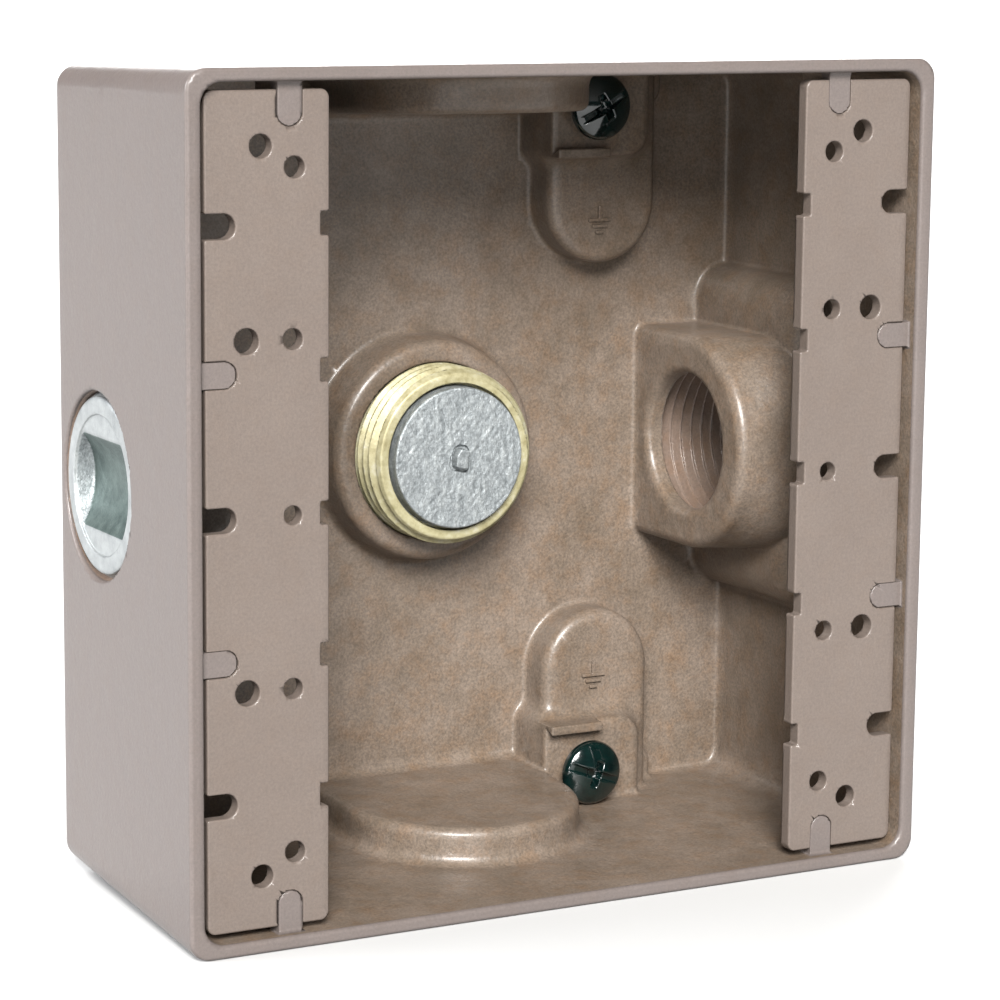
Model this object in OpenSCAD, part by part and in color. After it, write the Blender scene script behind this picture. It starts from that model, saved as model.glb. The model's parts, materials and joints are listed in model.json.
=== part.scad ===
// Two-gang weatherproof device box: a die-cast shell with three threaded hubs, two device
// mounting strips, two closure plugs and two ground screws.
// Millimetres. X runs across the box, -Y is the open front, +Z is up. The origin is at the
// middle of the underside of the bounding box.

/* [Casting] */
// Width across the open front
box_w = 114.3; // [112:0.1:118]
// Height across the open front
box_h = 115.9; // [114:0.1:119]
// Depth from the front rim to the back face
box_d = 50.8; // [48:0.1:56]
// How much each side leans in from the front rim to the back
draft = 1.75; // [0.5:0.05:2]
// Width of the front rim on the two sides
rim_side = 2.15; // [1.8:0.05:2.4]
// Width of the front rim at the top and bottom
rim_end = 1.85; // [1.6:0.05:2.2]
// Thickness of the back wall
back_wall = 2.8; // [2.4:0.1:3.4]
// Radius of the four long corners
corner_r = 3; // [2:0.1:4]
// Rounding of the edges round the back face
back_edge_r = 3; // [1.5:0.1:3.5]

/* [Hubs] */
// Outside diameter of the pipe thread that the hubs take
thread_d = 26; // [25.6:0.1:26.4]
// Radial clearance between a plug and its hub
thread_gap = 0.06; // [0.03:0.01:0.1]
// Radius of the bosses round the hubs
boss_r = 16; // [15.8:0.1:17]
// Distance of the side, top and bottom hub axes from the front rim
hub_depth = 34; // [33:0.1:34.4]
// Distance of the side bosses' inner faces from the middle of the box
side_boss_x = 37.5; // [37.2:0.1:38]
// Height of the back boss above the inside of the back wall
back_boss_h = 6.5; // [6:0.1:8.5]
// Height of the blank bosses above the floor and the ceiling, measured at the rim
end_boss_h = 6.5; // [5:0.1:7]
// Radius of those bosses
end_boss_r = 17.8; // [16:0.1:18]
// Diameter of the smooth throat at the inner end of a side hub
throat_d = 21.4; // [20:0.1:22]
// Length of that throat
throat_l = 2.8; // [2.4:0.1:3]

/* [Plugs] */
// Overall length of a closure plug
plug_l = 14.8; // [13:0.1:14.8]
// How far the left plug's outer face lies inside the box's side
side_plug_inset = 0.5; // [0.4:0.1:1.2]
// How far the back plug's outer face lies inside the box's back
back_plug_inset = 2; // [1:0.1:2.4]
// Width of the driving trough across the plug's outer face
trough_w = 13.4; // [12:0.1:14]
// Depth of the driving trough
trough_depth = 3.2; // [2:0.1:4]
// Diameter of the round pocket that ends the trough
trough_span = 19.4; // [18:0.1:21]
// Diameter of the plug's inner end face
plug_end_d = 20.5; // [19.5:0.1:21]

/* [Mounting strips] */
// Distance of a strip's inner edge from the middle of the box
strip_in = 36.5; // [36:0.1:37]
// Distance of a strip's outer edge from the middle of the box
strip_out = 54; // [53.6:0.1:54.2]
// Length of a strip
strip_l = 110; // [109:0.1:110.6]
// Thickness of a strip
strip_t = 2.2; // [1.8:0.1:2.6]
// How far the strips' front faces lie behind the rim
strip_set = 1.6; // [1:0.1:2.2]
// Width of the strips' open slots
slot_w = 3.3; // [3:0.1:3.6]
// Width of the casting's lugs that stand in the strips' notches
lug_w = 3.5; // [3:0.1:3.8]

/* [Ground terminals] */
// Distance of the ground screws from the middle of the box
ground_x = 24; // [23.4:0.1:24.6]
// Height of the ground screws above and below the middle of the box
ground_z = 49.8; // [49.6:0.1:49.8]
// Diameter of a ground screw's head
head_d = 9.7; // [9:0.1:9.7]
// Diameter of a ground screw's shank
shank_d = 4.8; // [4.6:0.1:4.9]
// Length of a ground screw's shank
shank_l = 9; // [8:0.1:9]
// Gap for the wire between a ground screw's head and its lug
wire_gap = 2; // [1.8:0.1:2.4]

/* [Hidden] */

front_y = -box_d / 2;
back_y = box_d / 2;
mid_z = box_h / 2;
hub_y = front_y + hub_depth;
inner_back_y = back_y - back_wall;
thread_r = thread_d / 2;
bore_r = thread_r + thread_gap;
strip_y = front_y + strip_set;

// Device screws: the standard two-gang pattern, in from the box's middle
device_x = 41.67;
device_z = 23.02;
outer_x = 48.19;
corner_x = 46.16;
corner_z = 47.85;
cover_x = 41.4;
cover_z = 45.08;
device_hole_d = 2.75;
outer_hole_d = 3.4;
centre_hole_d = 2.5;
corner_hole_d = 3.1;
cover_hole_d = 2.85;

slot_z = 37.8;
slot_tip_x = 49.7;
side_lug_z = 18.82;
side_lug_tip = 49.6;
end_lug_x = 42.1;
end_lug_tip = 50.3;
lug_gap = 0.1;
lug_foot = 5;
nick_w = 3.1;
nick_depth = 1.2;
nick_zs = [-slot_z, -side_lug_z, 0, side_lug_z, slot_z];

hub_pad_x = 48.2;
hub_pad_z = 24.5;
hub_pad_front = 20;
arch_x = 28;
arch_r = 9.1;
arch_z = 35.4;
arch_face = 42;
lug_face = 39;
lug_left = 17.4;
lug_right = 33.8;
lug_top_z = 42.4;
rib_right = 26.3;
rib_w = 1.3;
rib_h = 1.4;
screw_hole_l = 8.8;
head_h = 2.6;
neck_l = 1.5;
screw_gap = 0.05;

skin = 1;
ease = 0.1;
round_steps = 3;
inner_edge_r = 1.5;
$fn = 64;

// Four upright posts at the corners of a w by h rectangle, t deep from y
module corner_posts(w, h, r, y, t) {
    for (sx = [-1, 1], sz = [-1, 1])
        translate([sx * (w / 2 - r), y, mid_z + sz * (h / 2 - r)])
            rotate([-90, 0, 0]) cylinder(r = r, h = t, $fn = 32);
}

// A box that leans in towards the back, open to y0 in front and rounded round its back edge
module drafted_block(w, h, r, y0, y1, edge) {
    lean = draft / box_d;
    hull() {
        corner_posts(w - 2 * lean * (y0 - front_y), h - 2 * lean * (y0 - front_y), r, y0, ease);
        for (i = [0 : round_steps]) {
            a = 90 * i / round_steps;
            y = y1 - edge * (1 - sin(a));
            inset = edge * (1 - cos(a)) + lean * (y - front_y);
            corner_posts(w - 2 * inset, h - 2 * inset, r, y - ease, ease);
        }
    }
}

// A half-round pad that runs on as a straight block, drawn along +X to x1
module d_shape(r, x1) {
    circle(r = r);
    translate([0, -r]) square([x1, 2 * r]);
}

module rod_y(x, y, z, r, l) {
    translate([x, y, z]) rotate([-90, 0, 0]) cylinder(r = r, h = l);
}

// Inner boss and flat pad of a side hub, on the right; the left one mirrors it
module side_hub_boss() {
    reach = box_w / 2;
    back = inner_back_y + skin - hub_y;
    translate([side_boss_x, hub_y, mid_z]) rotate([0, 90, 0]) rotate([0, 0, 90])
        linear_extrude(reach - side_boss_x) d_shape(boss_r, back);
    translate([hub_pad_x, front_y + hub_pad_front, mid_z - hub_pad_z])
        cube([reach - hub_pad_x, box_d - hub_pad_front, 2 * hub_pad_z]);
}

// Threaded run and smooth throat of a side hub
module side_hub_bore() {
    translate([side_boss_x + throat_l, hub_y, mid_z]) rotate([0, 90, 0])
        cylinder(r = bore_r, h = box_w / 2);
    translate([side_boss_x - skin, hub_y, mid_z]) rotate([0, 90, 0])
        cylinder(r = throat_d / 2, h = throat_l + 2 * skin);
}

// Blank boss that stands on the floor where a bottom hub could be drilled
module floor_boss() {
    translate([0, hub_y, 0]) rotate([0, 0, 90])
        linear_extrude(rim_end + end_boss_h) d_shape(end_boss_r, inner_back_y + skin - hub_y);
}

// Arch pad, screw lug and wire rib of the lower ground terminal
module ground_terminal() {
    depth = inner_back_y + skin - front_y;
    translate([0, front_y + arch_face, mid_z]) rotate([-90, 0, 0])
        linear_extrude(depth - arch_face) translate([arch_x, arch_z]) rotate([0, 0, 90])
            d_shape(arch_r, mid_z - arch_z);
    translate([lug_left, front_y + lug_face, 0])
        cube([lug_right - lug_left, depth - lug_face, mid_z - lug_top_z]);
    translate([lug_left, front_y + lug_face - rib_h, mid_z - lug_top_z - rib_w])
        cube([rib_right - lug_left, rib_h + skin, rib_w]);
}

// Lug that stands in a strip's notch, drawn with its round tip at the origin and its
// root towards +X, with the foot that carries the strip
module strip_lug(root) {
    rotate([90, 0, 0]) {
        translate([lug_w / 2, 0]) mirror([0, 0, 1]) linear_extrude(strip_t + ease) {
            circle(d = lug_w);
            translate([0, -lug_w / 2]) square([root - lug_w / 2, lug_w]);
        }
        translate([0, -lug_w / 2, -strip_t - lug_foot]) cube([root, lug_w, lug_foot]);
    }
}

// The two side lugs and the two end lugs of the right-hand strip
module strip_lugs() {
    side_root = box_w / 2 - rim_side / 2 - side_lug_tip;
    end_root = box_h / 2 - rim_end / 2 - end_lug_tip;
    for (s = [-1, 1]) {
        translate([side_lug_tip, strip_y, mid_z + s * side_lug_z]) strip_lug(side_root);
        translate([end_lug_x, strip_y, mid_z + s * end_lug_tip])
            rotate([0, -90 * s, 0]) strip_lug(end_root);
    }
}

module left_and_right() {
    children();
    mirror([1, 0, 0]) children();
}

module top_and_bottom() {
    children();
    translate([0, 0, box_h]) mirror([0, 0, 1]) children();
}

// Everything that stands proud of the inside of the shell
module inner_features() {
    left_and_right() {
        side_hub_boss();
        strip_lugs();
    }
    top_and_bottom() {
        floor_boss();
        ground_terminal();
    }
    rod_y(0, inner_back_y - back_boss_h, mid_z, boss_r, back_boss_h + skin);
}

module box_casting() {
    color([0.66, 0.58, 0.53]) difference() {
        drafted_block(box_w, box_h, corner_r, front_y, back_y, back_edge_r);
        difference() {
            drafted_block(box_w - 2 * rim_side, box_h - 2 * rim_end, corner_r,
                          front_y - skin, inner_back_y, inner_edge_r);
            inner_features();
        }
        left_and_right() side_hub_bore();
        rod_y(0, 0, mid_z, bore_r, box_d);
        for (s = [-1, 1])
            rod_y(ground_x, front_y + lug_face - skin, mid_z + s * ground_z,
                  shank_d / 2 + screw_gap, screw_hole_l + skin);
    }
}

// Outline of the right-hand strip, in X and Z about the box's middle
module strip_outline() {
    reach = strip_out - side_lug_tip + skin;
    difference() {
        translate([strip_in, -strip_l / 2]) square([strip_out - strip_in, strip_l]);
        for (s = [-1, 0, 1]) translate([slot_tip_x, s * slot_z]) open_slot(slot_w, reach);
        for (s = [-1, 1]) {
            translate([side_lug_tip - lug_gap, s * side_lug_z])
                open_slot(lug_w + 2 * lug_gap, reach);
            translate([end_lug_x, s * (end_lug_tip - lug_gap)]) rotate([0, 0, 90 * s])
                open_slot(lug_w + 2 * lug_gap, reach);
        }
        for (z = nick_zs) translate([strip_in - skin, z - nick_w / 2])
            square([nick_depth + skin, nick_w]);
    }
}

// Slot with its round tip at the origin, open towards +X
module open_slot(w, l) {
    translate([w / 2, 0]) circle(d = w);
    translate([w / 2, -w / 2]) square([l, w]);
}

module right_strip() {
    difference() {
        translate([0, strip_y + strip_t, mid_z]) rotate([90, 0, 0])
            linear_extrude(strip_t) strip_outline();
        for (s = [-1, 1]) {
            strip_hole(device_x, s * device_z, device_hole_d);
            strip_hole(outer_x, s * device_z, outer_hole_d);
            strip_hole(corner_x, s * corner_z, corner_hole_d);
            strip_hole(cover_x, s * cover_z, cover_hole_d);
        }
        strip_hole(device_x, 0, centre_hole_d);
    }
}

module strip_hole(x, z, d) {
    rod_y(x, strip_y - skin, mid_z + z, d / 2, strip_t + 2 * skin);
}

module right_mounting_strip() {
    color([0.72, 0.66, 0.61]) right_strip();
}

module left_mounting_strip() {
    color([0.72, 0.66, 0.61]) mirror([1, 0, 0]) right_strip();
}

// Closure plug with its outer face at the origin and its body along -Z. The driving
// trough is a shallow round-bottomed channel along X that ends in a round pocket.
module plug() {
    trough_r = (pow(trough_w / 2, 2) + pow(trough_depth, 2)) / (2 * trough_depth);
    difference() {
        union() {
            translate([0, 0, -plug_l + neck_l]) cylinder(r = thread_r, h = plug_l - neck_l);
            translate([0, 0, -plug_l]) cylinder(d = plug_end_d, h = plug_l / 2);
        }
        intersection() {
            translate([-thread_r, 0, trough_r - trough_depth]) rotate([0, 90, 0])
                cylinder(r = trough_r, h = thread_d);
            translate([0, 0, -trough_depth - skin])
                cylinder(d = trough_span, h = trough_depth + 2 * skin);
        }
    }
}

module left_closure_plug() {
    face_x = box_w / 2 - draft * hub_depth / box_d - side_plug_inset;
    color([0.75, 0.77, 0.78]) translate([-face_x, hub_y, mid_z])
        rotate([0, -90, 0]) rotate([0, 0, 90]) plug();
}

module back_closure_plug() {
    color([0.76, 0.72, 0.55]) translate([0, back_y - back_plug_inset, mid_z])
        rotate([-90, 0, 0]) plug();
}

// Screw with its head towards -Y, standing off the terminal's face at height z
module ground_screw(z) {
    dome_r = (pow(head_d / 2, 2) + pow(head_h, 2)) / (2 * head_h);
    seat_y = front_y + lug_face - wire_gap;
    color([0.06, 0.14, 0.12]) {
        intersection() {
            rod_y(ground_x, seat_y - head_h, z, head_d / 2, head_h);
            translate([ground_x, seat_y - head_h + dome_r, z]) sphere(r = dome_r);
        }
        rod_y(ground_x, seat_y - ease, z, shank_d / 2, shank_l + ease);
    }
}

module upper_ground_screw() {
    ground_screw(mid_z + ground_z);
}

module lower_ground_screw() {
    ground_screw(mid_z - ground_z);
}

box_casting();
left_mounting_strip();
right_mounting_strip();
left_closure_plug();
back_closure_plug();
upper_ground_screw();
lower_ground_screw();
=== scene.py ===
"""Looks of a two-gang weatherproof device box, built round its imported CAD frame.

Every cast or turned piece is a smooth solid made from a signed distance function, so that its
inside corners have the soft fillets of a casting. Distances and places are in millimetres in the
row frame, apart from heights, which run from the middle of the box; the meshes are in metres.
"""

import json
import math

import bpy
import numpy as np
import openvdb as vdb
from mathutils import Matrix, Vector


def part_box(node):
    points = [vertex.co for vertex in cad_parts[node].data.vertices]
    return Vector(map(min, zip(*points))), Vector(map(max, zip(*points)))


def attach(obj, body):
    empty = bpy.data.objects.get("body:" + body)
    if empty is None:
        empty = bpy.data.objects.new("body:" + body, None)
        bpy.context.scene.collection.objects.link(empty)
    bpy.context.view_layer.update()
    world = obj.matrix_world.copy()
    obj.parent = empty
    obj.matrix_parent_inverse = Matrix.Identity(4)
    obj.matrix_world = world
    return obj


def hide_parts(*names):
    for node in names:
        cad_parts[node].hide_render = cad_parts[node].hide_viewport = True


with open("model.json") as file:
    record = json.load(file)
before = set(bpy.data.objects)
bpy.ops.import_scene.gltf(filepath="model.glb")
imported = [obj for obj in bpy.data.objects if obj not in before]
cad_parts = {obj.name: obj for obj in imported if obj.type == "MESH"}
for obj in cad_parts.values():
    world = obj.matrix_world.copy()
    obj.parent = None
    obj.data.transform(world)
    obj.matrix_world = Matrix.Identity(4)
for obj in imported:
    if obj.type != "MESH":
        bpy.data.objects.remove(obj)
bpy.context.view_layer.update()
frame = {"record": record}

MM = 1000.0


# ---------------------------------------------------------------- sizes

def node_box(node):
    """Lowest and highest corner of a CAD node, in millimetres."""
    low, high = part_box(node)
    return np.array(low) * MM, np.array(high) * MM


def mount(name):
    """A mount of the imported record."""
    return next(m for m in frame["record"]["mounts"] if m["name"] == name)


box_low, box_high = node_box("box_casting")
strip_low, strip_high = node_box("right_mounting_strip")
plug_low, plug_high = node_box("left_closure_plug")
back_plug_low, back_plug_high = node_box("back_closure_plug")
screw_low, screw_high = node_box("lower_ground_screw")

FRONT, BACK = box_low[1], box_high[1]
DEPTH = BACK - FRONT
HALF_W = (box_high[0] - box_low[0]) / 2
HALF_H = (box_high[2] - box_low[2]) / 2
MID_Z = (box_high[2] + box_low[2]) / 2
DRAFT = 1.75
RIM_SIDE, RIM_END = 2.15, 1.85
INNER_BACK = BACK - 2.8
CORNER_R = 3.0
BACK_EDGE_R = 3.0
RIM_EDGE_R = 0.55

HUB_Y = mount("right_hub")["pos_m"][1] * MM
BOSS_R = 16.0
BOSS_X = 37.5
BOSS_SQUARING, BOSS_SQUARING_L = 4.5, 9
BACK_BOSS_FACE = INNER_BACK - 6.5
BACK_BOSS_FLARE = 0.157
END_BOSS_R = 17.8
END_BOSS_Z = HALF_H - 8.35
END_BOSS_SLOPE = 0.043
PAD_X, PAD_Z, PAD_R = 48.2, 24.7, 5.0
THROAT_R = 10.3
THREAD_START_X = 40.3
CREST_R = (plug_high[2] - plug_low[2]) / 2
PITCH = 25.4 / 14
THREAD_DEPTH = 1.25
THREAD_GAP = 0.08
THREAD_SCALE = 0.55  # keeps a thread's distance true on its leaning flanks
LINER_R = CREST_R + 0.9
HUB_CUT_R = CREST_R + 0.5
MOUTH_R = CREST_R + 0.04
MOUTH_L = 1.1
SLEEVE_END_X = HALF_W - DRAFT * (HUB_Y - FRONT) / DEPTH - MOUTH_L
SLEEVE_MID_X = (THREAD_START_X + SLEEVE_END_X) / 2
SLEEVE_L = SLEEVE_END_X - THREAD_START_X
PLUG_L = plug_high[0] - plug_low[0]
PLUG_GAP = 0.03
NECK_L = 1.5
PLAIN_RIM_L = 1.6
GROOVE_W, GROOVE_DEPTH = 0.5, 1.6
NUB_HALF_W, NUB_HALF_H, NUB_H = 1.4, 1.0, 0.95
PLUG_CORE_R = 10.25
PLUG_RIM_R = 12.2
PLUG_TIP_R = 12.0
TROUGH_W, TROUGH_DEPTH, TROUGH_END_R = 13.4, 3.2, 9.7
FACE_RECESS = 0.3

STRIP_FRONT = strip_low[1]
STRIP_BACK = strip_high[1]
LUG_R = 1.75
SIDE_LUG_Z = 18.82
SIDE_LUG_TIP = 49.6
END_LUG_X = 42.1
END_LUG_TIP = 50.3
LUG_SEAM = 0.04
SLOT_X, SLOT_R = 49.7, 1.65
SLOT_LEVELS = (-37.8, 0, 37.8)
NICK_HALF_W, NICK_HALF_H = 1.2, 1.55
HOLE_PATTERNS = ("device_screws", "outer_device_holes", "cover_corner_holes", "cover_inner_holes",
                 "centre_holes")

GROUND_X = (screw_low[0] + screw_high[0]) / 2
GROUND_Z = MID_Z - (screw_low[2] + screw_high[2]) / 2
HEAD_R = (screw_high[2] - screw_low[2]) / 2
HEAD_H = 2.6
DOME_R = 8.5
DRIVE_SLOT_HALF_W, DRIVE_SLOT_DEPTH = 0.5, 1.1
RECESS_HALF_W, RECESS_REACH, RECESS_TAPER, RECESS_DEPTH = 0.55, 2.2, 0.75, 2.0
SCREW_CREST_R = 2.4
SCREW_PITCH = 25.4 / 32
SCREW_THREAD_DEPTH = 0.42
SCREW_HOLE_GAP, SCREW_HOLE_L = 0.05, 8.8
ARCH_X, ARCH_Z, ARCH_R = 28.0, 35.4, 9.1
ARCH_FACE = FRONT + 42
TERMINAL_FACE = FRONT + 39
TERMINAL_LEFT, TERMINAL_RIGHT, TERMINAL_TOP = 17.4, 33.8, 42.4
RIB_X, RIB_Z, RIB_HALF_L, RIB_HALF_T = 21.9, 43.1, 4.5, 0.75
RIB_LEFT, RIB_REACH, RIB_UNDERCUT = 17.5, 1.9, 0.26
FOOT_X, FOOT_Z, FOOT_HALF_W, FOOT_HALF_H = 28, 60, 12, 11
FOOT_FACE = FRONT + 45.6
SYMBOL_X, UPPER_SYMBOL_Z, LOWER_SYMBOL_Z = 27.2, 32.8, -36.15
SYMBOL_HALF_T = 0.45


# ---------------------------------------------------------------- distance functions

def both(a, b, r):
    """Distance to what two shapes share, with the edge between them rounded to radius r."""
    corner = np.hypot(np.maximum(a + r, 0), np.maximum(b + r, 0))
    return np.minimum(np.maximum(a, b), -r) + corner


def either(a, b, r):
    """Distance to two shapes together, with a fillet of radius r where they meet."""
    return -both(-a, -b, r)


def cut(a, b, r):
    """Distance to shape a less shape b, with the new edge rounded to radius r."""
    return both(a, -b, r)


def d_shape(u, v, r):
    """A half disc of radius r on the side where v is negative, with straight sides beyond."""
    return np.hypot(u, np.minimum(v, 0)) - r


def rounded_rectangle(u, v, half_u, half_v, r):
    du, dv = abs(u) - (half_u - r), abs(v) - (half_v - r)
    return np.hypot(np.maximum(du, 0), np.maximum(dv, 0)) + np.minimum(np.maximum(du, dv), 0) - r


def lean(y):
    """How far the drafted sides have leaned in at y."""
    return DRAFT * (y - FRONT) / DEPTH


def drafted_box(x, y, z, half_w, half_h, back, back_edge):
    """A box that leans in towards its rounded back and runs on through the open front."""
    qx = abs(x) - (half_w - lean(y) - CORNER_R)
    qz = abs(z) - (half_h - lean(y) - CORNER_R)
    side = np.hypot(np.maximum(qx, 0), np.maximum(qz, 0)) + np.minimum(np.maximum(qx, qz), 0)
    return both(side - CORNER_R, y - back, back_edge)


def ridge(turns):
    """Height of a thread, from 0 at the root to 1 at the crest, at a number of turns."""
    wave = abs(2 * (turns - np.floor(turns)) - 1)
    return np.clip((wave - 0.1) / 0.8, 0, 1)


def fade(t):
    t = np.clip(t, 0, 1)
    return t * t * (3 - 2 * t)


def hub_thread_r(along, across, up):
    """Radius of the hub thread at a point given along and across its axis.
    across, up and the axis make a right-handed set, so the thread is right-handed."""
    turns = along / PITCH - np.arctan2(up, across) / (2 * np.pi)
    return CREST_R - THREAD_DEPTH + THREAD_DEPTH * ridge(turns)


def side_hub_boss(x, y, z):
    """A D-shaped boss that squares off towards the wall, on a rounded pad."""
    corner_r = BOSS_R - BOSS_SQUARING * fade((abs(x) - BOSS_X - 1) / BOSS_SQUARING_L)
    from_corner = np.minimum(y - (HUB_Y - BOSS_R + corner_r), 0)
    side = np.hypot(np.maximum(abs(z) - (BOSS_R - corner_r), 0), from_corner) - corner_r
    boss = both(side, BOSS_X - abs(x), 1.6)
    pad = both(both(PAD_X - abs(x), abs(z) - PAD_Z, PAD_R), FRONT + 20 - y, PAD_R)
    return either(boss, pad, 0.5)


def end_boss(x, y, z):
    top = END_BOSS_Z - END_BOSS_SLOPE * (y - HUB_Y)
    return both(d_shape(x, y - HUB_Y, END_BOSS_R), top - abs(z), 1.3)


def back_boss(x, y, z):
    flare = BACK_BOSS_FLARE * (y - BACK_BOSS_FACE)
    return both(np.hypot(x, z) - BOSS_R - flare, BACK_BOSS_FACE - y, 1.4)


def ground_terminal(x, y, z):
    """Arch pad, screw lug, wire rib and flared foot, the same at the floor and the ceiling."""
    up = abs(z)
    pad = both(d_shape(x - ARCH_X, up - ARCH_Z, ARCH_R), ARCH_FACE - y, 1.6)
    lug_side = both(both(x - TERMINAL_RIGHT, TERMINAL_TOP - up, 3.5), TERMINAL_LEFT - x, 0.8)
    lug = both(lug_side, TERMINAL_FACE - y, 0.6)
    rib_face = TERMINAL_FACE - RIB_REACH
    shrink = RIB_UNDERCUT * np.clip(y - rib_face, 0, RIB_REACH)
    rib_side = rounded_rectangle(x - RIB_X, up - RIB_Z + shrink, RIB_HALF_L, RIB_HALF_T - shrink, 0.2)
    rib = both(both(rib_side, RIB_LEFT - x, 0.2), rib_face - y, 0.3)
    foot_side = rounded_rectangle(x - FOOT_X, up - FOOT_Z, FOOT_HALF_W, FOOT_HALF_H, 3)
    foot = both(foot_side, FOOT_FACE - y, 1.0)
    return either(either(either(pad, lug, 3.0), rib, 0.3), foot, 2.0)


def strip_lugs(x, y, z):
    """The lugs that hold the strips: they stand in the strips' notches, flush in front."""
    side = np.hypot(np.minimum(abs(x) - SIDE_LUG_TIP - LUG_R, 0), abs(z) - SIDE_LUG_Z) - LUG_R
    end = np.hypot(np.minimum(abs(z) - END_LUG_TIP - LUG_R, 0), abs(x) - END_LUG_X) - LUG_R
    lugs = np.minimum(side, end)
    return both(both(lugs, STRIP_FRONT - y, 0.06), y - STRIP_BACK - 5, 0.5)


def casting(x, y, z):
    """The whole die casting."""
    outer = drafted_box(x, y, z, HALF_W, HALF_H, BACK, BACK_EDGE_R)
    space = drafted_box(x, y, z, HALF_W - RIM_SIDE, HALF_H - RIM_END, INNER_BACK, 0.9)
    space = cut(space, side_hub_boss(x, y, z), 0.8)
    space = cut(space, end_boss(x, y, z), 1.7)
    space = cut(space, back_boss(x, y, z), 1.0)
    space = cut(space, ground_terminal(x, y, z), 0.8)
    space = cut(space, strip_lugs(x, y, z), 0.3)
    shell = both(cut(outer, space, 0.2), FRONT - y, RIM_EDGE_R)

    from_side_axis = np.hypot(y - HUB_Y, z)
    from_back_axis = np.hypot(x, z)
    throat = both(from_side_axis - THROAT_R, BOSS_X - 5 - abs(x), 0.5)
    side_sleeve = both(from_side_axis - HUB_CUT_R, abs(abs(x) - SLEEVE_MID_X) - SLEEVE_L / 2, 0.1)
    side_mouth = both(from_side_axis - MOUTH_R, SLEEVE_MID_X - abs(x), 0.1)
    back_sleeve_mid = (BACK_BOSS_FACE + BACK) / 2
    back_sleeve_l = BACK - BACK_BOSS_FACE - 2 * MOUTH_L
    back_sleeve = both(from_back_axis - HUB_CUT_R, abs(y - back_sleeve_mid) - back_sleeve_l / 2, 0.1)
    shell = cut(shell, throat, 1.2)
    shell = cut(shell, side_mouth, 0.35)
    shell = cut(shell, side_sleeve, 0.3)
    shell = cut(shell, from_back_axis - MOUTH_R, 0.35)
    shell = cut(shell, back_sleeve, 0.15)
    hole = np.hypot(x - GROUND_X, abs(z) - GROUND_Z) - SCREW_CREST_R - SCREW_HOLE_GAP
    hole = both(hole, y - TERMINAL_FACE - SCREW_HOLE_L, 0.2)
    return cut(shell, both(hole, TERMINAL_FACE - 4 - y, 0.2), 0.3)


def hub_liner(along, across, up, start, end):
    """The threaded sleeve of a hub from start to end along its axis."""
    r = np.hypot(across, up)
    ends = fade((along - start) / PITCH) * fade((end - along) / PITCH)
    smooth_r = CREST_R + THREAD_GAP
    thread_r = hub_thread_r(along, across, up) + THREAD_GAP
    inner_r = smooth_r + (thread_r - smooth_r) * ends
    wall = np.maximum((inner_r - r) * THREAD_SCALE, r - LINER_R)
    return both(both(wall, start - along, 0.1), along - end, 0.1)


def plug(depth, along, across, up):
    """A closure plug. depth runs inwards from its outer face; along is the thread's own axis."""
    r = np.hypot(across, up)
    body_l = PLUG_L - NECK_L
    crest = CREST_R - PLUG_GAP
    thread_r = hub_thread_r(along, across, up) - PLUG_GAP
    body_r = crest + (thread_r - crest) * fade((depth - PLAIN_RIM_L) / 0.9)
    body_r = np.minimum(body_r, PLUG_RIM_R + 0.9 * np.maximum(depth - 0.6, 0))
    body_r = np.minimum(body_r, PLUG_TIP_R + 0.7 * (body_l - depth))
    body = both((r - body_r) * THREAD_SCALE, depth - body_l, 0.15)
    groove_side = abs(r - PLUG_CORE_R - GROOVE_W / 2) - GROOVE_W / 2
    groove = both(groove_side, body_l - GROOVE_DEPTH - depth, 0.1)
    body = cut(body, groove, 0.1)
    core = both(r - PLUG_CORE_R, depth - PLUG_L + 0.12 - cast_relief(across, up), 0.3)
    body = either(body, core, 0.05)
    nub = rounded_rectangle(across + 0.2 * up, up, NUB_HALF_W, NUB_HALF_H, 0.25)
    nub = both(nub, 0.6 * across - up - 1.25, 0.2)
    moat = both(abs(nub - 0.3) - 0.25, PLUG_L - 0.7 - depth, 0.05)
    body = cut(body, moat, 0.1)
    body = either(body, both(nub, depth - PLUG_L - NUB_H - 0.12 * across, 0.2), 0.1)
    body = both(body, -depth, 0.4)
    body = cut(body, both(r - TROUGH_END_R, depth - FACE_RECESS, 0.1), 0.15)
    trough_r = ((TROUGH_W / 2) ** 2 + TROUGH_DEPTH ** 2) / (2 * TROUGH_DEPTH)
    trough = np.hypot(up, depth + trough_r - TROUGH_DEPTH) - trough_r
    return cut(body, both(trough, r - TROUGH_END_R, 0.5), 0.35)


def cast_relief(u, v):
    """Fine uneven surface of a raw cast face, from waves of several scales, heights and turns."""
    total = 0
    for scale, height, turn in [(2.3, 0.025, 0.4), (3.9, 0.02, 1.3), (7.1, 0.014, 2.2), (0.9, 0.03, 2.9)]:
        a = u * math.cos(turn) + v * math.sin(turn)
        b = v * math.cos(turn) - u * math.sin(turn)
        warp = 1.7 * np.sin(0.8 * scale * b)
        total = total + height * np.sin(scale * a + warp) * np.cos(scale * 0.9 * b + turn)
    return total - 0.06


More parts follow.
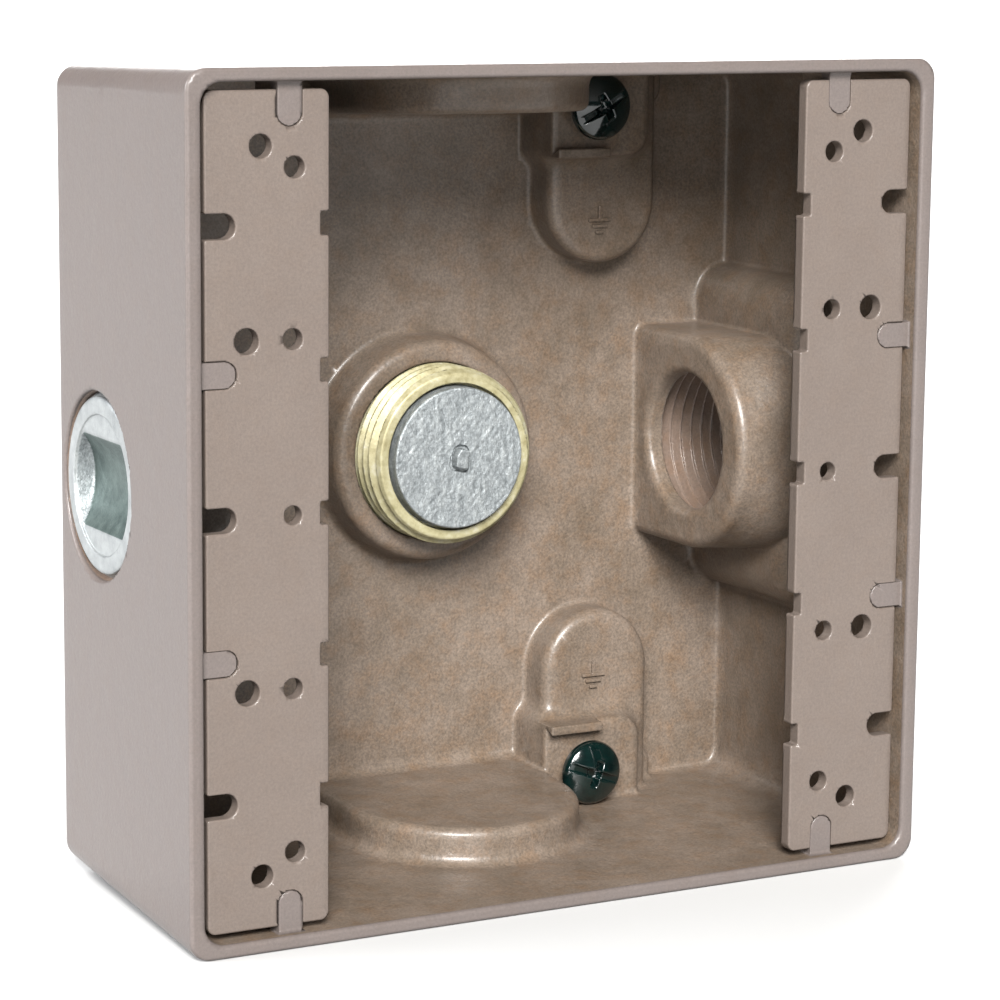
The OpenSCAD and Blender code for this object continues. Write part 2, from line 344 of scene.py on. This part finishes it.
def ground_screw(x, y, z):
    """A pan-head screw with its head towards -Y and its axis through x = z = 0."""
    face = screw_low[1]
    seat = face + HEAD_H
    r = np.hypot(x, z)
    dome = np.hypot(r, y - face - DOME_R) - DOME_R
    head = both(both(r - HEAD_R, dome, 0.5), y - seat, 0.2)
    turns = y / SCREW_PITCH - np.arctan2(x, z) / (2 * np.pi)
    shank_r = SCREW_CREST_R - SCREW_THREAD_DEPTH + SCREW_THREAD_DEPTH * ridge(turns)
    tip = screw_high[1]
    shank = both((r - shank_r) * THREAD_SCALE, y - tip + 0.6 * fade((r - 1.2) / 1.2), 0.3)
    shank = both(shank, seat - 1 - y, 0.2)
    screw = either(head, shank, 0.4)
    slot = both(abs(z) - DRIVE_SLOT_HALF_W, y - face - DRIVE_SLOT_DEPTH, 0.15)
    reach = RECESS_REACH - RECESS_TAPER * (y - face)
    wing = both(abs(x) - RECESS_HALF_W, abs(z) - reach, 0.25)
    arm = both(abs(z) - RECESS_HALF_W, abs(x) - reach, 0.25)
    recess = both(np.minimum(wing, arm), y - face - RECESS_DEPTH, 0.2)
    return cut(screw, np.minimum(slot, recess), 0.3)


def strip(x, y, z):
    """The right-hand mounting strip, from its outline, slots, notches and holes."""
    mid_x = (strip_low[0] + strip_high[0]) / 2
    half_w = (strip_high[0] - strip_low[0]) / 2
    half_l = (strip_high[2] - strip_low[2]) / 2
    flat = rounded_rectangle(x - mid_x, z, half_w, half_l, 1.2)
    for level in SLOT_LEVELS:
        slot = np.hypot(np.minimum(x - SLOT_X - SLOT_R, 0), z - level) - SLOT_R
        flat = cut(flat, slot, 0.3)
    for level in (*SLOT_LEVELS, -SIDE_LUG_Z, SIDE_LUG_Z):
        nick = rounded_rectangle(x - strip_low[0], z - level, NICK_HALF_W, NICK_HALF_H, 0.3)
        flat = cut(flat, nick, 0.3)
    side = np.hypot(np.minimum(x - SIDE_LUG_TIP - LUG_R, 0), abs(z) - SIDE_LUG_Z) - LUG_R - LUG_SEAM
    end = np.hypot(np.minimum(abs(z) - END_LUG_TIP - LUG_R, 0), x - END_LUG_X) - LUG_R - LUG_SEAM
    plate = both(both(flat, STRIP_FRONT - y, 0.25), y - STRIP_BACK, 0.25)
    plate = cut(plate, np.minimum(side, end), 0.05)
    for name in HOLE_PATTERNS:
        dims = mount(name)["dims"]
        hole_x, hole_z = dims["spacing_x_mm"] / 2, dims.get("spacing_y_mm", 0) / 2
        hole = np.hypot(x - hole_x, abs(z) - hole_z) - dims["hole_r_mm"]
        plate = cut(plate, hole, 0.2)
    return plate


def ground_symbol(x, y, z):
    """The plain earth symbol: a stem on three bars, each shorter than the one above."""
    stem = rounded_rectangle(x, z - 1.0, 0.26, 1.1, 0.1)
    bars = [rounded_rectangle(x, z + 0.9 * i, 1.95 - 0.65 * i, 0.24, 0.1) for i in range(3)]
    flat = np.minimum(np.minimum(stem, bars[0]), np.minimum(bars[1], bars[2]))
    return both(abs(y) - SYMBOL_HALF_T, flat, 0.1)


# ---------------------------------------------------------------- meshes

CASTING_VOXEL, STRIP_VOXEL, LINER_VOXEL = 0.4, 0.2, 0.22
PLUG_VOXEL, SCREW_VOXEL, SYMBOL_VOXEL = 0.2, 0.12, 0.08
ADAPTIVITY = 0.02


def axes_of(low, high, voxel):
    """Open grid of sample places from low to high."""
    counts = [int(math.ceil((h - l) / voxel)) + 1 for l, h in zip(low, high)]
    steps = [(l + voxel * np.arange(n)).astype(np.float32) for l, n in zip(low, counts)]
    return steps[0][:, None, None], steps[1][None, :, None], steps[2][None, None, :]


def slope(distance, points, step=0.01):
    """Gradient of a distance function at points."""
    made = []
    for i in range(3):
        shift = np.zeros(3)
        shift[i] = step
        ahead, behind = (points + shift).T, (points - shift).T
        made.append((distance(*ahead) - distance(*behind)) / (2 * step))
    return np.stack(made, axis=1)


def solid(name, distance, low, high, voxel, adaptivity=0.0):
    """Mesh object of the solid where distance(x, y, height from the middle) is negative."""
    low, high = np.array(low, float) - 2 * voxel, np.array(high, float) + 2 * voxel
    x, y, z = axes_of(low, high, voxel)
    band = 3 * voxel
    values = np.clip(distance(x, y, z) + 0 * (x + y + z), -band, band)
    grid = vdb.FloatGrid(band)
    grid.copyFromArray(values.astype(np.float32))
    points, triangles, quads = grid.convertToPolygons(isovalue=0.0, adaptivity=adaptivity)
    points = points.astype(float) * voxel + low
    for _ in range(3):
        gradient = slope(distance, points)
        size = np.maximum((gradient ** 2).sum(1), 0.05)
        step = distance(*points.T) / size
        points -= gradient * np.clip(step, -voxel, voxel)[:, None]
    normals = slope(distance, points)
    normals /= np.maximum(np.linalg.norm(normals, axis=1), 1e-6)[:, None]
    mesh = bpy.data.meshes.new(name)
    mesh.from_pydata(((points + [0, 0, MID_Z]) / MM).tolist(), [], quads.tolist() + triangles.tolist())
    mesh.validate()
    mesh.update()
    face = mesh.polygons[0]
    outward = Vector(normals[face.vertices[0]])
    if face.normal.dot(outward) < 0:
        mesh.flip_normals()
    mesh.shade_smooth()
    if len(mesh.vertices) == len(normals):
        mesh.normals_split_custom_set_from_vertices(normals.tolist())
    made = bpy.data.objects.new(name, mesh)
    bpy.context.scene.collection.objects.link(made)
    print(name, len(mesh.polygons), "faces")
    return made


def face_centres(piece):
    """Face centres of a piece, in millimetres, with heights from the middle."""
    mesh = piece.data
    centres = np.zeros(len(mesh.polygons) * 3, np.float32)
    mesh.polygons.foreach_get("center", centres)
    return centres.reshape(-1, 3) * MM - [0, 0, MID_Z]


def paint(piece, materials, choose=None):
    """Gives a piece its materials; choose(x, y, z) picks one by number for each face."""
    for m in materials:
        piece.data.materials.append(m)
    if choose is not None:
        chosen = choose(*face_centres(piece).T).astype(np.int32)
        piece.data.polygons.foreach_set("material_index", chosen)


# ---------------------------------------------------------------- materials

class Nodes:
    """A material's node tree with short calls for what the materials here share."""

    def __init__(self, name, roughness=0.5, metallic=0.0):
        self.material = bpy.data.materials.new(name)
        self.material.use_nodes = True
        self.tree = self.material.node_tree
        self.shader = self.tree.nodes["Principled BSDF"]
        self.shader.inputs["Roughness"].default_value = roughness
        self.shader.inputs["Metallic"].default_value = metallic
        self.place = self.tree.nodes.new("ShaderNodeNewGeometry").outputs["Position"]

    def link(self, a, b):
        self.tree.links.new(a, b)

    def noise(self, scale, detail=3.0, rough=0.6, stretch=None):
        """Noise with features about 1 / scale millimetres across."""
        n = self.tree.nodes.new("ShaderNodeTexNoise")
        n.inputs["Scale"].default_value = scale * MM
        n.inputs["Detail"].default_value = detail
        n.inputs["Roughness"].default_value = rough
        where = self.place
        if stretch:
            mapping = self.tree.nodes.new("ShaderNodeMapping")
            mapping.inputs["Scale"].default_value = stretch
            self.link(where, mapping.inputs["Vector"])
            where = mapping.outputs["Vector"]
        self.link(where, n.inputs["Vector"])
        return n.outputs["Fac"]

    def ramp(self, fac, stops):
        """Colour ramp with (position, colour) stops."""
        n = self.tree.nodes.new("ShaderNodeValToRGB")
        while len(n.color_ramp.elements) < len(stops):
            n.color_ramp.elements.new(0.5)
        for element, (at, colour) in zip(n.color_ramp.elements, stops):
            element.position = at
            element.color = (*colour, 1)
        self.link(fac, n.inputs["Fac"])
        return n.outputs["Color"]

    def multiply(self, a, b, share=1.0):
        """Colour a multiplied by colour b, for a share of the way from a."""
        n = self.tree.nodes.new("ShaderNodeMix")
        n.data_type = "RGBA"
        n.blend_type = "MULTIPLY"
        n.inputs["Factor"].default_value = share
        self.link(a, n.inputs["A"])
        self.link(b, n.inputs["B"])
        return n.outputs["Result"]

    def colour(self, socket):
        self.link(socket, self.shader.inputs["Base Color"])

    def roughness(self, fac, low, high):
        n = self.tree.nodes.new("ShaderNodeMapRange")
        n.inputs["To Min"].default_value = low
        n.inputs["To Max"].default_value = high
        self.link(fac, n.inputs["Value"])
        self.link(n.outputs["Result"], self.shader.inputs["Roughness"])

    def bump(self, heights):
        """Bumps from (height socket, depth in millimetres) pairs, coarse ones first."""
        normal = None
        for height, depth in heights:
            n = self.tree.nodes.new("ShaderNodeBump")
            n.inputs["Distance"].default_value = depth / MM
            n.inputs["Strength"].default_value = 1.0
            self.link(height, n.inputs["Height"])
            if normal is not None:
                self.link(normal, n.inputs["Normal"])
            normal = n.outputs["Normal"]
        self.link(normal, self.shader.inputs["Normal"])


def painted_casting(name, light, dark, warm, grain):
    """Powder coat over a sandy die casting, from a lighter to a darker tone with warm patches."""
    m = Nodes(name)
    m.shader.inputs["Specular IOR Level"].default_value = 0.3
    m.shader.inputs["Coat Weight"].default_value = 0.2
    m.shader.inputs["Coat Roughness"].default_value = 0.16
    blotch = m.noise(0.11, 5.0, 0.7)
    speck = m.noise(2.6, 2.0, 0.7)
    base = m.ramp(blotch, [(0.3, dark), (0.7, light)])
    tint = m.ramp(m.noise(0.3, 3.0, 0.7), [(0.45, (1, 1, 1)), (0.75, warm)])
    fine = m.ramp(speck, [(0.3, (0.66, 0.67, 0.68)), (0.7, (1.24, 1.23, 1.22))])
    m.colour(m.multiply(m.multiply(base, tint), fine, grain))
    m.roughness(blotch, 0.36, 0.55)
    m.bump([(m.noise(0.3, 3.0, 0.6), 0.2 * grain), (m.noise(1.3, 3.0, 0.7), 0.03 + 0.04 * grain)])
    return m.material


def cast_zinc():
    """Raw zinc casting, bright grey with small pits."""
    m = Nodes("cast_zinc", metallic=0.55)
    grain = m.noise(0.9, 5.0, 0.75, stretch=(1.0, 1.0, 0.55))
    dark, middle, light = (0.13, 0.145, 0.15), (0.225, 0.243, 0.25), (0.34, 0.362, 0.365)
    base = m.ramp(grain, [(0.3, dark), (0.5, middle), (0.7, light)])
    speck = m.ramp(m.noise(2.2, 3.0, 0.75), [(0.3, (0.68, 0.68, 0.68)), (0.7, (1.2, 1.2, 1.2))])
    m.colour(m.multiply(base, speck))
    m.roughness(grain, 0.6, 0.35)
    m.bump([(grain, 0.25), (m.noise(3.0, 2.0, 0.7), 0.05)])
    return m.material


def plated_thread():
    """Yellow-tinted plating on the plugs' threads."""
    m = Nodes("plated_thread", metallic=0.35)
    wear = m.noise(0.5, 4.0, 0.7)
    dark, middle, light = (0.19, 0.165, 0.08), (0.30, 0.275, 0.165), (0.37, 0.355, 0.29)
    m.colour(m.ramp(wear, [(0.3, dark), (0.55, middle), (0.75, light)]))
    m.roughness(wear, 0.46, 0.6)
    m.bump([(m.noise(1.8, 3.0, 0.7), 0.04)])
    return m.material


def bright_zinc(name, low, high):
    """Plated zinc of a plug's outer end."""
    m = Nodes(name, metallic=0.7)
    grain = m.noise(0.5, 4.0, 0.65)
    m.colour(m.ramp(grain, [(0.3, low), (0.7, high)]))
    m.roughness(grain, 0.34, 0.56)
    m.bump([(m.noise(1.2, 3.0, 0.7), 0.09)])
    return m.material


def green_finish():
    """Glossy dark green of a ground screw."""
    m = Nodes("green_finish", roughness=0.12)
    m.colour(m.ramp(m.noise(0.6), [(0.3, (0.001, 0.004, 0.004)), (0.7, (0.002, 0.009, 0.008))]))
    m.shader.inputs["Coat Weight"].default_value = 0.8
    m.shader.inputs["Coat Roughness"].default_value = 0.06
    m.bump([(m.noise(0.8, 2.0), 0.02)])
    return m.material


# Outside coat: a little cooler than the strips' coat. This is partly the coat's own colour and partly painted
# cool light from the left on the box's sides.
outer_paint_and_cool_light = painted_casting(
    "outer_paint_and_cool_light", light=(0.103, 0.086, 0.080), dark=(0.096, 0.080, 0.074),
    warm=(1.0, 0.98, 0.96), grain=0.35)
strip_paint = painted_casting(
    "strip_paint", light=(0.107, 0.086, 0.074), dark=(0.099, 0.079, 0.068),
    warm=(1.0, 0.98, 0.96), grain=0.35)
# Inside coat: warmer and more mottled than the outside. This is partly a thinner coat and partly painted warm
# shade standing in for the bounced light inside the box.
inner_paint_and_shade = painted_casting(
    "inner_paint_and_shade", light=(0.138, 0.108, 0.086), dark=(0.090, 0.068, 0.050),
    warm=(1.0, 0.88, 0.76), grain=0.9)
thread_paint = painted_casting(
    "thread_paint", light=(0.148, 0.108, 0.086), dark=(0.113, 0.082, 0.064),
    warm=(1.0, 0.9, 0.8), grain=0.5)
zinc_face = cast_zinc()
zinc_thread = plated_thread()
zinc_rim = bright_zinc("zinc_rim", (0.25, 0.265, 0.27), (0.36, 0.375, 0.375))
zinc_trough = bright_zinc("zinc_trough", (0.065, 0.09, 0.085), (0.125, 0.16, 0.15))
green = green_finish()


# ---------------------------------------------------------------- pieces

INSIDE_FROM_SIDE, INSIDE_FROM_RIM, INSIDE_FROM_BACK = 0.9, 0.7, 1.0
FACE_ZONE = 0.15
TROUGH_ZONE = 0.25


def inside(x, y, z):
    """1 for a face of the casting inside the box or a hub, which takes the warmer coat with painted shade; 0
    for one outside.
    """
    leaned = lean(y) + INSIDE_FROM_SIDE
    between_sides = (abs(x) < HALF_W - leaned) & (abs(z) < HALF_H - leaned)
    between_ends = (y > FRONT + INSIDE_FROM_RIM) & (y < BACK - INSIDE_FROM_BACK)
    lug = (strip_lugs(x, y, z) < 0.3) & (y < STRIP_BACK)
    return np.where(between_sides & between_ends & ~lug, 1, 0)


def make_casting():
    piece = solid("cast_shell", casting, [-HALF_W, FRONT, -HALF_H], [HALF_W, BACK, HALF_H],
                  CASTING_VOXEL, ADAPTIVITY)
    # Faces inside the box take the warmer coat, which holds painted shade.
    paint(piece, [outer_paint_and_cool_light, inner_paint_and_shade], inside)
    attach(piece, "box")
    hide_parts("box_casting")


def make_strips():
    low = [strip_low[0], strip_low[1], strip_low[2] - MID_Z]
    high = [strip_high[0], strip_high[1], strip_high[2] - MID_Z]
    right = solid("right_strip", strip, low, high, STRIP_VOXEL, ADAPTIVITY)
    left = solid("left_strip", lambda x, y, z: strip(-x, y, z),
                 [-high[0], low[1], low[2]], [-low[0], high[1], high[2]], STRIP_VOXEL, ADAPTIVITY)
    for piece, node in ((right, "right_mounting_strip"), (left, "left_mounting_strip")):
        paint(piece, [strip_paint])
        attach(piece, "box")
        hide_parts(node)


def make_liners():
    """Threaded sleeves of the three hubs."""
    reach = LINER_R
    into_wall = 0.3
    side_start, side_end = THREAD_START_X - into_wall, SLEEVE_END_X + into_wall
    back_start, back_end = BACK_BOSS_FACE + MOUTH_L - into_wall, BACK - MOUTH_L + into_wall
    makers = {
        "right_hub_thread": (
            lambda x, y, z: hub_liner(x, y - HUB_Y, z, side_start, side_end),
            [side_start, HUB_Y - reach, -reach], [side_end, HUB_Y + reach, reach]),
        "left_hub_thread": (
            lambda x, y, z: hub_liner(x, y - HUB_Y, z, -side_end, -side_start),
            [-side_end, HUB_Y - reach, -reach], [-side_start, HUB_Y + reach, reach]),
        "back_hub_thread": (
            lambda x, y, z: hub_liner(y, z, x, back_start, back_end),
            [-reach, back_start, -reach], [reach, back_end, reach]),
    }
    for name, (distance, low, high) in makers.items():
        piece = solid(name, distance, low, high, LINER_VOXEL)
        paint(piece, [thread_paint])
        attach(piece, "box")


def plug_regions(depth, r):
    """Numbers of a plug's materials: 0 thread, 1 raw inner end and trough ends, 2 outer rim, 3 trough."""
    below_face = (depth > FACE_RECESS + FACE_ZONE) & (depth < TROUGH_DEPTH + 0.8)
    region = np.zeros(len(r))
    region[(r < PLUG_CORE_R + FACE_ZONE) & (depth > PLUG_L - NECK_L - 2.3)] = 1
    region[depth < PLAIN_RIM_L - 0.1] = 2
    region[below_face & (r < TROUGH_END_R - TROUGH_ZONE)] = 3
    region[below_face & (abs(r - TROUGH_END_R) < TROUGH_ZONE)] = 1
    return region


def make_plugs():
    left_face, back_face = plug_low[0], back_plug_high[1]
    reach = CREST_R
    left = solid("left_plug", lambda x, y, z: plug(x - left_face, x, y - HUB_Y, z),
                 [plug_low[0], HUB_Y - reach, -reach], [plug_high[0] + 1.2, HUB_Y + reach, reach], PLUG_VOXEL)
    paint(left, [zinc_thread, zinc_face, zinc_rim, zinc_trough],
          lambda x, y, z: plug_regions(x - left_face, np.hypot(y - HUB_Y, z)))
    back = solid("back_plug", lambda x, y, z: plug(back_face - y, y, z, x),
                 [-reach, back_plug_low[1] - 1.2, -reach], [reach, back_plug_high[1], reach], PLUG_VOXEL)
    paint(back, [zinc_thread, zinc_face, zinc_rim, zinc_trough],
          lambda x, y, z: plug_regions(back_face - y, np.hypot(x, z)))
    for piece, body, node in ((left, "left_plug", "left_closure_plug"),
                              (back, "back_plug", "back_closure_plug")):
        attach(piece, body)
        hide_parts(node)


def make_screws():
    for side, body, turn in ((1, "upper_screw", 0.5), (-1, "lower_screw", -0.35)):
        def distance(x, y, z, side=side, turn=turn):
            u, v = x - GROUND_X, z - side * GROUND_Z
            turned_u = u * math.cos(turn) + v * math.sin(turn)
            turned_v = v * math.cos(turn) - u * math.sin(turn)
            return ground_screw(turned_u, y, turned_v)
        low = [GROUND_X - HEAD_R, screw_low[1], side * GROUND_Z - HEAD_R]
        high = [GROUND_X + HEAD_R, screw_high[1], side * GROUND_Z + HEAD_R]
        piece = solid(body + "_green", distance, low, high, SCREW_VOXEL)
        paint(piece, [green])
        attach(piece, body)
        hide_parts(body.replace("_screw", "_ground_screw"))


def make_symbols():
    """Earth symbols, cast proud of the arch pads."""
    for name, z in (("upper_earth_symbol", UPPER_SYMBOL_Z), ("lower_earth_symbol", LOWER_SYMBOL_Z)):
        at = [SYMBOL_X, ARCH_FACE, z]
        piece = solid(name, lambda x, y, z, at=at: ground_symbol(x - at[0], y - at[1], z - at[2]),
                      [at[0] - 2.2, at[1] - 0.5, at[2] - 2.3],
                      [at[0] + 2.2, at[1] + 0.5, at[2] + 2.3], SYMBOL_VOXEL)
        paint(piece, [inner_paint_and_shade])
        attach(piece, "box")


# ---------------------------------------------------------------- studio

def make_camera():
    """Long lens from the front left and slightly above, as the box is usually shown."""
    camera = bpy.data.objects.new("camera", bpy.data.cameras.new("camera"))
    bpy.context.scene.collection.objects.link(camera)
    right = Vector((0.8782, -0.4782, 0.0093))
    up = Vector((0.0731, 0.1533, 0.9855))
    back = Vector((-0.4727, -0.8648, 0.1696))
    camera.matrix_world = Matrix((
        (right.x, up.x, back.x, -0.22384),
        (right.y, up.y, back.y, -0.41290),
        (right.z, up.z, back.z, 0.13404),
        (0, 0, 0, 1)))
    camera.data.lens = 120.88
    camera.data.sensor_width = 36
    camera.data.clip_start = 0.01
    bpy.context.scene.camera = camera


def soft_sun(name, towards, strength, width, colour=(1, 1, 1)):
    """Even light from a wide source in the direction towards, width degrees across."""
    data = bpy.data.lights.new(name, "SUN")
    data.energy = strength
    data.angle = math.radians(width)
    data.color = colour
    light = bpy.data.objects.new(name, data)
    bpy.context.scene.collection.objects.link(light)
    light.location = Vector(towards)
    light.rotation_euler = Vector(towards).to_track_quat("Z", "Y").to_euler()


def make_floor():
    """A plain pale floor."""
    mesh = bpy.data.meshes.new("floor")
    half = 30.0
    corners = [(-half, -half, 0), (half, -half, 0), (half, half, 0), (-half, half, 0)]
    mesh.from_pydata(corners, [], [(0, 1, 2, 3)])
    floor = bpy.data.objects.new("floor", mesh)
    bpy.context.scene.collection.objects.link(floor)
    m = Nodes("floor", roughness=0.9)
    m.colour(m.ramp(m.noise(0.01), [(0.3, (0.42, 0.42, 0.42)), (0.7, (0.43, 0.43, 0.43))]))
    mesh.materials.append(m.material)


def make_world():
    """Faint fill light from all round, in front of a backdrop that the camera sees as plain white."""
    world = bpy.data.worlds.new("studio")
    world.use_nodes = True
    tree = world.node_tree
    fill = tree.nodes["Background"]
    fill.inputs["Color"].default_value = (1, 1, 1, 1)
    fill.inputs["Strength"].default_value = 0.03
    backdrop = tree.nodes.new("ShaderNodeBackground")
    backdrop.inputs["Color"].default_value = (1, 1, 1, 1)
    seen = tree.nodes.new("ShaderNodeLightPath").outputs["Is Camera Ray"]
    choice = tree.nodes.new("ShaderNodeMixShader")
    tree.links.new(seen, choice.inputs[0])
    tree.links.new(fill.outputs[0], choice.inputs[1])
    tree.links.new(backdrop.outputs[0], choice.inputs[2])
    tree.links.new(choice.outputs[0], tree.nodes["World Output"].inputs["Surface"])
    bpy.context.scene.world = world


make_camera()
make_floor()
make_world()
front_left = (-0.376, -0.752, 0.541)
soft_sun("key", front_left, 10.2, 28, (1.0, 0.99, 0.97))
soft_sun("glint", front_left, 1.4, 6)
soft_sun("front", (-0.53, -0.84, 0.06), 0.35, 6)
soft_sun("side", (-0.93, 0.30, 0.35), 4.7, 30, (0.93, 0.95, 0.98))
soft_sun("behind", (0.5, 0.8, 0.5), 5, 40)
bpy.context.scene.view_settings.view_transform = "Standard"

make_casting()
make_strips()
make_liners()
make_plugs()
make_screws()
make_symbols()
